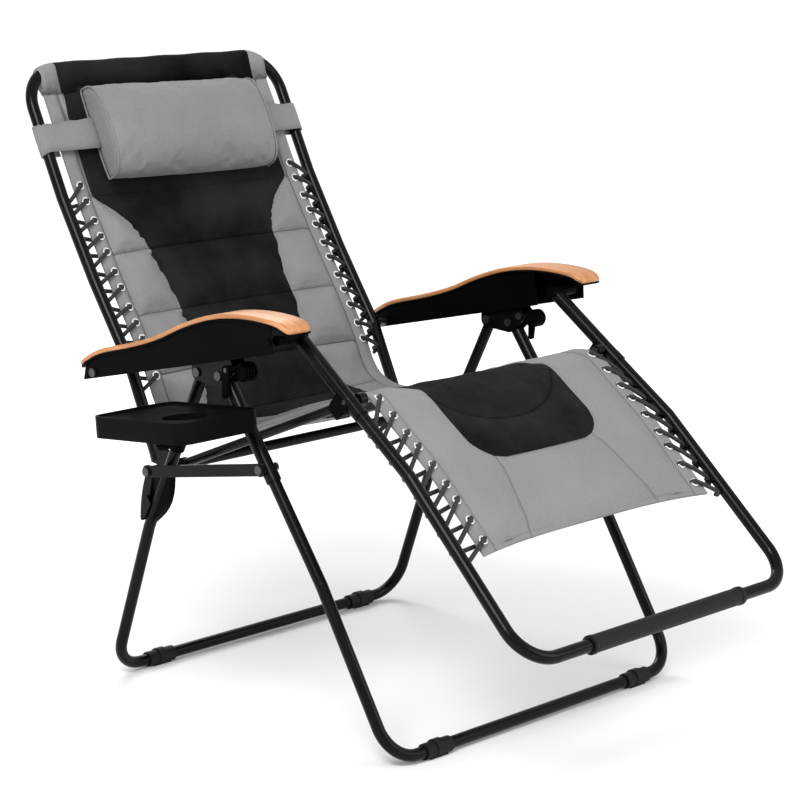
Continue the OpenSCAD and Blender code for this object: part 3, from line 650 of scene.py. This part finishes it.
def inflate(o, pin, pressure, growth, cap, tension=12.0, bending=0.6):
    """Blows the closed mesh up as cloth that has grown by growth, with pin (0..1 per vertex) held, and
    limits each vertex's move to cap."""
    rest = np.array([v.co for v in o.data.vertices], float)
    group = o.vertex_groups.new(name="pin")
    for i, w in enumerate(pin):
        if w > 0.01:
            group.add([i], float(w), "REPLACE")
    mod = o.modifiers.new("cloth", "CLOTH")
    c = mod.settings
    c.quality = 5
    c.mass = 0.25
    c.tension_stiffness = tension
    c.compression_stiffness = tension
    c.shear_stiffness = tension * 0.5
    c.bending_stiffness = bending
    c.air_damping = 3.0
    c.use_pressure = True
    c.uniform_pressure_force = pressure
    c.effector_weights.gravity = 0
    c.shrink_min = -growth
    c.vertex_group_mass = "pin"
    c.pin_stiffness = 1.0
    mod.collision_settings.use_self_collision = False
    mod.point_cache.frame_start = 1
    mod.point_cache.frame_end = CLOTH_FRAMES
    for f in range(1, CLOTH_FRAMES + 1):
        bpy.context.scene.frame_set(f)
    apply_modifiers(o)
    bpy.context.scene.frame_set(1)
    now = np.array([v.co for v in o.data.vertices], float)
    move = now - rest
    size = np.linalg.norm(move, axis=1)
    scale = np.where(size > cap, cap / np.maximum(size, 1e-9), 1)
    out = rest + move * scale[:, None]
    bad = ~np.isfinite(out).all(1)
    out[bad] = rest[bad]
    o.data.vertices.foreach_set("co", out.astype(np.float32).ravel())
    o.data.update()
    return out


def tube_mesh(name, path, radius, mat, sides=10, closed=False):
    """A round cord along a path of 3D points, with closed ends."""
    p = np.array(path, float)
    n = len(p)
    tan = np.gradient(p, axis=0)
    if closed:
        tan = np.roll(p, -1, 0) - np.roll(p, 1, 0)
    tan /= np.maximum(np.linalg.norm(tan, axis=1), 1e-9)[:, None]
    ref = np.cross(tan[0], [0.31, 0.57, 0.76])
    ref /= np.linalg.norm(ref)
    verts, faces = [], []
    ang = np.arange(sides) * 2 * math.pi / sides
    for i in range(n):
        ref = ref - tan[i] * (ref @ tan[i])
        ref /= np.linalg.norm(ref)
        side = np.cross(tan[i], ref)
        verts += [p[i] + radius * (math.cos(a) * ref + math.sin(a) * side) for a in ang]
    last = n if closed else n - 1
    for i in range(last):
        for k in range(sides):
            a, b = i * sides + k, i * sides + (k + 1) % sides
            c, d = ((i + 1) % n) * sides + (k + 1) % sides, ((i + 1) % n) * sides + k
            faces.append((a, b, c, d))
    if not closed:
        faces.append(tuple(range(sides))[::-1])
        faces.append(tuple((n - 1) * sides + k for k in range(sides)))
    o = new_object(name, verts, faces, mat)
    outward(o)
    return o


def join(name, objs):
    bpy.ops.object.select_all(action="DESELECT")
    for o in objs:
        o.select_set(True)
    bpy.context.view_layer.objects.active = objs[0]
    bpy.ops.object.join()
    o = bpy.context.view_layer.objects.active
    o.name = name
    o.data.name = name
    return o


def loft(name, rings, mat, closed_ends=True, smooth_shade=True):
    """A closed skin over equal rings of points."""
    n = len(rings[0])
    verts = [v for r in rings for v in r]
    faces = []
    for j in range(len(rings) - 1):
        for i in range(n):
            faces.append((j * n + i, j * n + (i + 1) % n, (j + 1) * n + (i + 1) % n, (j + 1) * n + i))
    if closed_ends:
        faces.append(tuple(range(n))[::-1])
        faces.append(tuple((len(rings) - 1) * n + i for i in range(n)))
    o = new_object(name, verts, faces, mat, smooth_shade)
    outward(o)
    return o


# ---------------------------------------------------------------- sling

def soften(move):
    """Evens out a grid of moves without touching its rim."""
    for _ in range(3):
        m = move.copy()
        beside = move[:-2, 1:-1] + move[2:, 1:-1] + move[1:-1, :-2] + move[1:-1, 2:]
        m[1:-1, 1:-1] = 0.4 * move[1:-1, 1:-1] + 0.15 * beside
        move = m
    return move


CLOTH_FRAMES = 20
SLING_PRESSURE, SLING_GROWTH = 3.0, 0.02
PILLOW_PRESSURE, PILLOW_GROWTH, PILLOW_TRAVEL = 4.0, 0.008, 0.009

front, back, gx, gs, gseam = sling_points()
verts, faces = shell(front, back, (0, NV + 1))
pad = new_object("pad_sim", verts, faces, None)
outward(pad)
w = 1 - smooth((gseam - 0.004) / 0.010)
edge_hold = 1 - smooth((half_width(gs) - np.abs(gx) - 0.010) / 0.025)
w = np.maximum(w, edge_hold)
w[0, :] = w[-1, :] = 1
pin = np.r_[w.ravel(), np.maximum(w, 0.85).ravel()]
cut = (NV + 1) * (NU + 1)
cap = np.tile(0.002 + 0.014 * fullness(gs.ravel()), 2)
out = inflate(pad, pin, SLING_PRESSURE, SLING_GROWTH, cap)
front = front + soften(out[:cut].reshape(front.shape) - front)
back = back + soften(out[cut:].reshape(back.shape) - back)
bpy.data.objects.remove(pad)

full_dark = black_distance(gx, gs)


def grid_normals(g):
    du = np.gradient(g, axis=1)
    dv = np.gradient(g, axis=0)
    n = np.cross(du, dv)
    n /= np.maximum(np.linalg.norm(n, axis=2), 1e-12)[:, :, None]
    return n


front_normals, back_normals = grid_normals(front), grid_normals(back)
if front_normals[NV // 4, NU // 2, 1] > 0:
    front_normals = -front_normals
back_normals = -back_normals if (back_normals[NV // 4, NU // 2, 1] < 0) else back_normals


def row_at(s):
    """The grid row nearest to arc length s at mid width."""
    return int(np.argmin(np.abs(gs[:, NU // 2] - s)))


def sling_piece(name, r0, r1):
    verts, faces = shell(front, back, (r0, r1 + 1))
    o = new_object(name, verts, faces, M["sling"])
    outward(o)
    me = o.data
    half = (r1 + 1 - r0) * (NU + 1)
    dark = np.tile(full_dark[r0:r1 + 1].ravel(), 2)
    seam = np.tile(gseam[r0:r1 + 1].ravel(), 2)
    for key, val in (("dark", dark), ("seam", seam)):
        me.attributes.new(key, "FLOAT", "POINT").data.foreach_set("value", val.astype(np.float32))
    uv = me.uv_layers.new(name="UVMap")
    us = np.tile(gx[r0:r1 + 1].ravel(), 2)
    vs = np.tile(gs[r0:r1 + 1].ravel(), 2)
    loops = np.zeros(len(me.loops), np.int32)
    me.loops.foreach_get("vertex_index", loops)
    uv.data.foreach_set("uv", np.stack([us[loops], vs[loops]], 1).astype(np.float32).ravel())
    normals = np.vstack([front_normals[r0:r1 + 1].reshape(-1, 3), back_normals[r0:r1 + 1].reshape(-1, 3)])
    per_loop = normals[loops]
    rims = np.zeros(len(me.polygons), bool)
    for k, poly in enumerate(me.polygons):
        vi = list(poly.vertices)
        on_front = [v < half for v in vi]
        if any(on_front) and not all(on_front):
            rims[k] = True
            poly.use_smooth = False
            for li in poly.loop_indices:
                per_loop[li] = poly.normal
    me.normals_split_custom_set([tuple(v) for v in per_loop])
    return o


ROWS = [0, row_at(S_BACK_END), row_at(S_CREASE), row_at(S_SEAT0), row_at(S_SEAT1), row_at(S_KNEE),
        row_at(S_LEG0), NV]


def mid_point(row):
    p = 0.5 * (front[row, NU // 2] + back[row, NU // 2])
    return (0, float(p[1]), float(p[2]))


back_part = sling_piece("sling_back", ROWS[0], ROWS[1])
ride(back_part, "back")
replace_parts(back_part, "back_sling")
crease_a = sling_piece("sling_crease_rear", ROWS[1], ROWS[2])
crease_b = sling_piece("sling_crease_front", ROWS[2], ROWS[3])
seat_part = sling_piece("sling_seat", ROWS[3], ROWS[4])
knee_a = sling_piece("sling_knee_rear", ROWS[4], ROWS[5])
knee_b = sling_piece("sling_knee_front", ROWS[5], ROWS[6])
leg_part = sling_piece("sling_leg", ROWS[6], ROWS[7])
blend(crease_a, "back", "seat_bushes", mid_point(ROWS[1]), mid_point(ROWS[2]))
blend(crease_b, "seat_bushes", "seat", mid_point(ROWS[2]), mid_point(ROWS[3]))
ride(seat_part, "seat")
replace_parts(seat_part, "seat_sling")
blend(knee_a, "seat", "knee_bolts", mid_point(ROWS[4]), mid_point(ROWS[5]))
blend(knee_b, "knee_bolts", "leg_rest", mid_point(ROWS[5]), mid_point(ROWS[6]))
ride(leg_part, "leg_rest")
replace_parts(leg_part, "leg_sling")

# the fabric sleeve round the head bar: the radius of the bar's bends, the sleeve's half width, its black
# middle's half width and how far it reaches down the sling
HEAD_BEND = 0.075
SLEEVE_HALF, SLEEVE_DARK, SLEEVE_TAIL = 0.2755, 0.238, 0.050
head_dir = (CURVE[12] - HEAD) / np.linalg.norm(CURVE[12] - HEAD)
head_n = np.array([head_dir[1], -head_dir[0]])
if head_n[0] > 0:
    head_n = -head_n


def sleeve_ring(x):
    """A teardrop round the bar that closes on both faces of the sling and follows the bar's bends."""
    r = TUBE_R + 0.0022 + 0.0006 * math.sin(x * 61)
    turn = max(0.0, abs(x) - (BACK_W - HEAD_BEND)) / HEAD_BEND
    drop = HEAD_BEND * (1 - math.sqrt(1 - turn * turn))
    centre = HEAD + drop * head_dir
    stretch = 1 / math.sqrt(1 - turn * turn)
    pts = [centre + r * (-math.cos(a) * stretch * head_dir + math.sin(a) * head_n)
           for a in np.linspace(-math.radians(112), math.radians(112), 22)]
    tail_f = HEAD + SLEEVE_TAIL * head_dir + 0.0056 * head_n
    tail_b = HEAD + SLEEVE_TAIL * head_dir - 0.0040 * head_n
    return [(x, q[0], q[1]) for q in [tail_b] + pts + [tail_f, HEAD + (SLEEVE_TAIL - 0.004) * head_dir]]


xs = np.linspace(-SLEEVE_HALF, SLEEVE_HALF, 57)
sleeve = loft("sling_head_sleeve", [sleeve_ring(x) for x in xs], M["sling"])
me = sleeve.data
co = np.array([v.co for v in me.vertices])
dark = SLEEVE_DARK - np.abs(co[:, 0])
tail = (co[:, 1:] - HEAD) @ head_dir
seam = np.minimum(np.abs(dark), np.abs(tail - SLEEVE_TAIL + 0.004))
for key, val in (("dark", dark), ("seam", seam)):
    me.attributes.new(key, "FLOAT", "POINT").data.foreach_set("value", val.astype(np.float32))
uv = me.uv_layers.new(name="UVMap")
for lp in me.loops:
    uv.data[lp.index].uv = (co[lp.vertex_index][0], tail[lp.vertex_index])
ride(sleeve, "back")

# ---------------------------------------------------------------- grommets and elastic cords


def surface_at(g, s, x):
    """Point of a sling grid at arc length s and width x."""
    j = int(np.argmin(np.abs(gs[:, 2] - s)))
    i = int(np.argmin(np.abs(gx[j] - x)))
    return g[j, i]


def torus_mesh(name, centre, normal, big, small, mat):
    bpy.ops.mesh.primitive_torus_add(major_radius=big, minor_radius=small,
                                     major_segments=28, minor_segments=8)
    o = bpy.context.view_layer.objects.active
    o.name = name
    o.data.polygons.foreach_set("use_smooth", [True] * len(o.data.polygons))
    o.data.materials.append(mat)
    m = Vector(normal).to_track_quat("Z", "Y").to_matrix().to_4x4()
    o.data.transform(Matrix.Translation(Vector(centre)) @ m @ Matrix.Diagonal((1, 1, 0.62, 1)))
    return o


def nearest_on_tube(line, p):
    """Closest point of a bent line to p."""
    best = None
    for a, b in zip(line[:-1], line[1:]):
        ab = b - a
        t = np.clip((p - a) @ ab / (ab @ ab), 0, 1)
        q = a + t * ab
        d = np.linalg.norm(p - q)
        if best is None or d < best[0]:
            best = (d, q)
    return best[1]


def rest_width(p):
    k = np.linalg.norm(p - ARM_FRONT) / np.linalg.norm(REST_TUBE[-1] - ARM_FRONT)
    return REST_W[0] + (REST_W[1] - REST_W[0]) * k


CORD_R = 0.0039
GROMMET_IN = 0.0125       # from the fabric's edge to the middle of a grommet


def lacing(name, body, sgn, places, line, tube_w, wrap, stand_for, grommet_name, fall, reach):
    """A cord from each grommet down to the inner side of the tube, round behind it and on to the next
    grommet, and the grommets themselves."""
    path, rings = [], []
    r = wrap + CORD_R + 0.0003
    for k, s in enumerate(places):
        x = sgn * (half_width(s) - GROMMET_IN)
        f, b = surface_at(front, s, x), surface_at(back, s, x)
        n = (f - b) / np.linalg.norm(f - b)
        rings.append(torus_mesh(grommet_name + str(k), f + n * 0.0011, n, 0.0068, 0.0019, M["grommet"]))
        rings.append(torus_mesh(grommet_name + "b" + str(k), b - n * 0.0009, n, 0.0066, 0.0017, M["grommet"]))
        drop = fall + (0.010 if k == 0 else 0.0)
        tn = np.array([n[1], n[2]])
        tn = tn / np.linalg.norm(tn)

        def beside(down, inward, ahead):
            """A point on the cord's way round the tube: inward across the chair, ahead of its centre."""
            at = s + down
            q = nearest_on_tube(line, resample(CURVE, at))
            q = q + tn * r * ahead
            return np.array([sgn * (tube_w(q) - r * inward), q[0], q[1]])
        path += [b - n * 0.0050, f + n * 0.0042, beside(drop, 0.96, reach), beside(drop + 0.002, 0.86, -0.52),
                 beside(drop + 0.006, 0.20, -1.0), beside(drop + 0.010, 0.80, -0.75)]
    o = tube_mesh(name, spline(path, 5), CORD_R, M["cord_black"], 10)
    ride(o, body)
    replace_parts(o, stand_for)
    ring = join(grommet_name, rings)
    ride(ring, body)
    return ring


BACK_S0, BACK_S1 = s_at(0.549, 0.868), S_BACK_END - 0.012
BACK_LACES = [BACK_S0 + i * (BACK_S1 - BACK_S0) / 11 for i in range(12)]
LEG_S0, LEG_S1 = S_KNEE + 0.022, TOTAL - 0.030
LEG_LACES = [LEG_S0 + i * (LEG_S1 - LEG_S0) / 8 for i in range(9)]
for sgn, side in ((1, "left"), (-1, "right")):
    ring = lacing("back_cord_" + side, "back", sgn, BACK_LACES, BACK_TUBE, lambda q: BACK_W, TUBE_R,
                  "back_lacing_" + side, "back_eyelets_" + side, 0.017, 0.34)
    if sgn == 1:
        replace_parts(ring, "back_grommets")
    ring = lacing("leg_cord_" + side, "leg_rest", sgn, LEG_LACES, REST_TUBE, rest_width, TUBE_R + 0.0002,
                  "leg_lacing_" + side, "leg_eyelets_" + side, 0.034, -0.15)
    if sgn == 1:
        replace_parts(ring, "leg_grommets")

# ---------------------------------------------------------------- head pillow

PILLOW_MID = np.array([0.589, 0.947])
PILLOW_DIR = (HEAD - BACK_TUBE[1]) / np.linalg.norm(HEAD - BACK_TUBE[1])
PILLOW_N = np.array([-PILLOW_DIR[1], PILLOW_DIR[0]])
PILLOW_W, PILLOW_H, PILLOW_T = 0.197, 0.093, 0.066
PILLOW_TILT = 0.018


def pillow_ring(x):
    """Section of the bolster at x: flat behind, round in front, drawn in a little at its ends."""
    k = abs(x) / PILLOW_W
    h = PILLOW_H * (1 - 0.05 * k ** 6)
    t = PILLOW_T * (1 - 0.10 * k ** 6)
    pts = []
    for a in np.linspace(0, 2 * math.pi, 40, endpoint=False):
        c, s = math.cos(a), math.sin(a)
        if s >= 0:
            yz = (h * np.sign(c) * abs(c) ** 0.80, 0.012 + (t - 0.012) * s ** 0.62)
        else:
            yz = (h * np.sign(c) * abs(c) ** 0.80, 0.012 - 0.006 * abs(s) ** 0.5)
        q = PILLOW_MID + (yz[0] - PILLOW_TILT * x) * PILLOW_DIR + yz[1] * PILLOW_N
        pts.append((x, q[0], q[1]))
    return pts


def pillow():
    xs = [-PILLOW_W, -PILLOW_W + 0.002] + list(np.linspace(-PILLOW_W + 0.008, PILLOW_W - 0.008, 40)) \
        + [PILLOW_W - 0.002, PILLOW_W]
    o = loft("pillow", [pillow_ring(x) for x in xs], M["fabric_grey"])
    rem = o.modifiers.new("remesh", "REMESH")
    rem.mode = "VOXEL"
    rem.voxel_size = 0.006
    apply_modifiers(o)
    o.data.polygons.foreach_set("use_smooth", [True] * len(o.data.polygons))
    co = np.array([v.co for v in o.data.vertices])
    yz = co[:, 1:] - PILLOW_MID
    depth = yz @ PILLOW_N
    end = PILLOW_W - np.abs(co[:, 0])
    rim = np.exp(-(end / 0.006) ** 2) * 0.9
    flat_side = 1 - smooth((depth - 0.010) / 0.012)
    pin = np.maximum(np.where(end < 0.004, 0.55, rim), flat_side)
    inflate(o, pin, PILLOW_PRESSURE, PILLOW_GROWTH, PILLOW_TRAVEL, tension=15, bending=3.0)
    sub = o.modifiers.new("subdivide", "SUBSURF")
    sub.levels = sub.render_levels = 1
    apply_modifiers(o)
    o.data.materials.clear()
    o.data.materials.append(M["fabric_grey"])
    o.data.polygons.foreach_set("use_smooth", [True] * len(o.data.polygons))
    return o


pillow_obj = pillow()
ride(pillow_obj, "pillow")
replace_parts(pillow_obj, "head_pillow")

# piping round each end of the pillow
for sgn, side in ((1, "left"), (-1, "right")):
    ring = np.array(pillow_ring(sgn * (PILLOW_W - 0.0015)))
    mid = ring.mean(0)
    ring = mid + (ring - mid) * 1.004
    pipe = tube_mesh("pillow_piping_" + side, ring, 0.0019, M["fabric_grey"], 8, closed=True)
    ride(pipe, "pillow")


def strap(sgn, side):
    """A wide band from the pillow's end round the side tube and back behind the sling."""
    half_h = 0.0295
    r = TUBE_R + 0.0022
    t = 0.0011
    line = []
    x0, x1 = PILLOW_W - 0.004, BACK_W
    for k in np.linspace(0, 1, 9):
        line.append((x0 + (x1 - 0.004 - x0) * k, 0.0185 + (r - 0.0185) * smooth(k)))
    for a in np.linspace(80, -80, 15):
        line.append((x1 + r * math.cos(math.radians(a)), r * math.sin(math.radians(a))))
    for k in np.linspace(0, 1, 7):
        line.append((x1 - 0.004 - (0.030) * k, -r + 0.003 * k))
    line = np.array(line)
    tan = np.gradient(line, axis=0)
    tan /= np.linalg.norm(tan, axis=1)[:, None]
    nor = np.stack([tan[:, 1], -tan[:, 0]], 1)
    rings = []
    for k, (p, n) in enumerate(zip(line, nor)):
        hh = half_h * (1 - 0.10 * math.exp(-((k - 9) / 5.0) ** 2))
        tuck = 0.0012 * math.sin(k * 1.7)
        ring = []
        for h, o in ((-hh, -t), (-hh * 0.5, -t * 1.3), (0, -t * 1.4), (hh * 0.5, -t * 1.3), (hh, -t),
                     (hh, t), (hh * 0.5, t * 1.3), (0, t * 1.4), (-hh * 0.5, t * 1.3), (-hh, t)):
            q2 = p + n * o
            yz = PILLOW_MID + (0.004 + h + tuck * (h > 0)) * PILLOW_DIR + q2[1] * PILLOW_N
            ring.append((sgn * q2[0], yz[0], yz[1]))
        rings.append(ring)
    o = loft("pillow_strap_" + side, rings, M["fabric_grey"])
    ride(o, "pillow")
    return o


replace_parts(strap(1, "left"), "pillow_straps")
strap(-1, "right")

# ---------------------------------------------------------------- armrest tops

ARM_KNOTS = [(0.400, 0.577), (0.372, 0.594), (0.333, 0.611), (0.245, 0.634), (0.180, 0.655), (0.112, 0.684),
             (0.047, 0.705), (-0.010, 0.715), (-0.068, 0.718), (-0.122, 0.714), (-0.150, 0.702)]
ARM_CURVE = spline(ARM_KNOTS, 8)
ARM_S = arc_length(ARM_CURVE)
pad_low, pad_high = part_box("armrest_top_left")
PAD_X = 0.5 * (pad_low[0] + pad_high[0]) - PLACE.x
PAD_HALF = 0.5 * (pad_high[0] - pad_low[0])
ARM_END_ROUND = 0.022


def pad_section(half, top, bottom, round_r, crown, steps=6):
    """Rounded section of an armrest pad, as (x, height below the top curve), both ways round."""
    pts = []
    for side, first in ((-1, 180), (1, 90)):
        for a in np.radians(np.linspace(first, first - 90, steps)):
            x = side * (half - round_r) + round_r * math.cos(a)
            pts.append((x, top - round_r + round_r * math.sin(a)))
    small = 0.0008
    pts += [(half, bottom + small), (half - small, bottom), (-half + small, bottom), (-half, bottom + small)]
    return [(x, z + crown * (1 - (x / half) ** 2) * (z > bottom + 0.002)) for x, z in pts]


def arm_pad(name, sgn, half, top, bottom, round_r, crown, mat):
    """One layer of an armrest's top, with its ends rounded in plan and in height."""
    s = np.linspace(0, ARM_S[-1], 90)
    s = np.r_[s[0], s[0] + 0.0012, s[0] + 0.004, s[2:-2], s[-1] - 0.004, s[-1] - 0.0012, s[-1]]
    c = resample(ARM_CURVE, s)
    ahead = resample(ARM_CURVE, np.clip(s + 0.003, 0, ARM_S[-1]))
    d = ahead - resample(ARM_CURVE, np.clip(s - 0.003, 0, ARM_S[-1]))
    d /= np.linalg.norm(d, axis=1)[:, None]
    nrm = np.stack([-d[:, 1], d[:, 0]], 1)
    nrm *= np.where(nrm[:, 1] < 0, -1, 1)[:, None]
    rings = []
    for k, (p, q) in enumerate(zip(c, nrm)):
        e = min(s[k] - s[0], s[-1] - s[k])
        pinch = 0.62 + 0.38 * math.sqrt(1 - (1 - min(e / ARM_END_ROUND, 1)) ** 2)
        flat = 1.0 if e > 0.004 else 0.55 + 0.45 * math.sqrt(e / 0.004)
        section = pad_section(half, top, bottom, round_r, crown)
        centre = 0.5 * (top + bottom)
        rings.append([(sgn * (PAD_X + x * pinch), p[0] + q[0] * (centre + (z - centre) * flat),
                       p[1] + q[1] * (centre + (z - centre) * flat)) for x, z in section])
    o = loft(name, rings, mat)
    ride(o, "armrests")
    return o


for sgn, side in ((1, "left"), (-1, "right")):
    top = arm_pad("armrest_wood_" + side, sgn, PAD_HALF, 0.0, -0.0078, 0.0042, 0.0014, M["wood_look"])
    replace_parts(top, "armrest_top_" + side)
    lip = arm_pad("armrest_lip_" + side, sgn, PAD_HALF + 0.0012, -0.0079, -0.0118, 0.0018, 0.0,
                  M["plastic_black"])

# ---------------------------------------------------------------- stage

FLOOR = 60
corners = [(-FLOOR, -FLOOR, 0), (FLOOR, -FLOOR, 0), (FLOOR, FLOOR, 0), (-FLOOR, FLOOR, 0)]
floor = new_object("floor", corners, [(0, 1, 2, 3)], None, False)
fm = Nodes("floor_paper")
tone = fm.noise(fm.vec(), 3, 2)
# away from the chair the paper is given a painted glow (emission) that grows up to the backdrop's white, so
# that no horizon shows
away = fm.tree.nodes.new("ShaderNodeVectorMath")
away.operation = "LENGTH"
fm.link(fm.vec(), away.inputs[0])
fm.bsdf.inputs["Emission Color"].default_value = (1, 1, 1, 1)
fm.link(fm.span(away.outputs["Value"], 0.9, 3.0, 0.0, 0.40), fm.bsdf.inputs["Emission Strength"])
fm.finish(fm.ramp(tone, [(0.3, (0.885, 0.885, 0.885)), (0.7, (0.90, 0.90, 0.90))]), 0.9, spec=0.1)
floor.data.materials.append(fm.mat)

world = bpy.data.worlds.new("studio")
world.use_nodes = True
bpy.context.scene.world = world
bg = world.node_tree.nodes["Background"]
bg.inputs[0].default_value = (1, 1, 1, 1)
seen = world.node_tree.nodes.new("ShaderNodeLightPath")
bright = world.node_tree.nodes.new("ShaderNodeMapRange")
bright.inputs[3].default_value = 0.72
bright.inputs[4].default_value = 1.0
world.node_tree.links.new(seen.outputs["Is Camera Ray"], bright.inputs[0])
world.node_tree.links.new(bright.outputs[0], bg.inputs[1])


def area(name, loc, target, size, power):
    light = bpy.data.lights.new(name, "AREA")
    light.shape = "RECTANGLE"
    light.size, light.size_y = size
    light.energy = power
    o = bpy.data.objects.new(name, light)
    o.location = Vector(loc) + PLACE
    o.rotation_euler = (Vector(target) - Vector(loc)).to_track_quat("-Z", "Y").to_euler()
    bpy.context.scene.collection.objects.link(o)


area("key", (-2.6, -1.2, 3.2), (0, 0, 0.5), (1.8, 1.4), 115)
area("fill", (1.6, -3.4, 2.0), (0, 0, 0.5), (2.4, 2.0), 45)
area("rim", (1.5, 2.8, 2.8), (0, 0.1, 0.7), (2.0, 1.4), 60)

bpy.context.scene.view_settings.view_transform = "Standard"

cam_data = bpy.data.cameras.new("camera")
cam_data.lens = 111.5
cam_data.sensor_width = 36
cam = bpy.data.objects.new("camera", cam_data)
cam.location = Vector((-3.070, -3.034, 1.415)) + PLACE
cam.rotation_euler = Vector((0.6979, 0.6861, -0.2053)).to_track_quat("-Z", "Y").to_euler()
bpy.context.scene.collection.objects.link(cam)
bpy.context.scene.camera = cam

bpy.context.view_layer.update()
import json
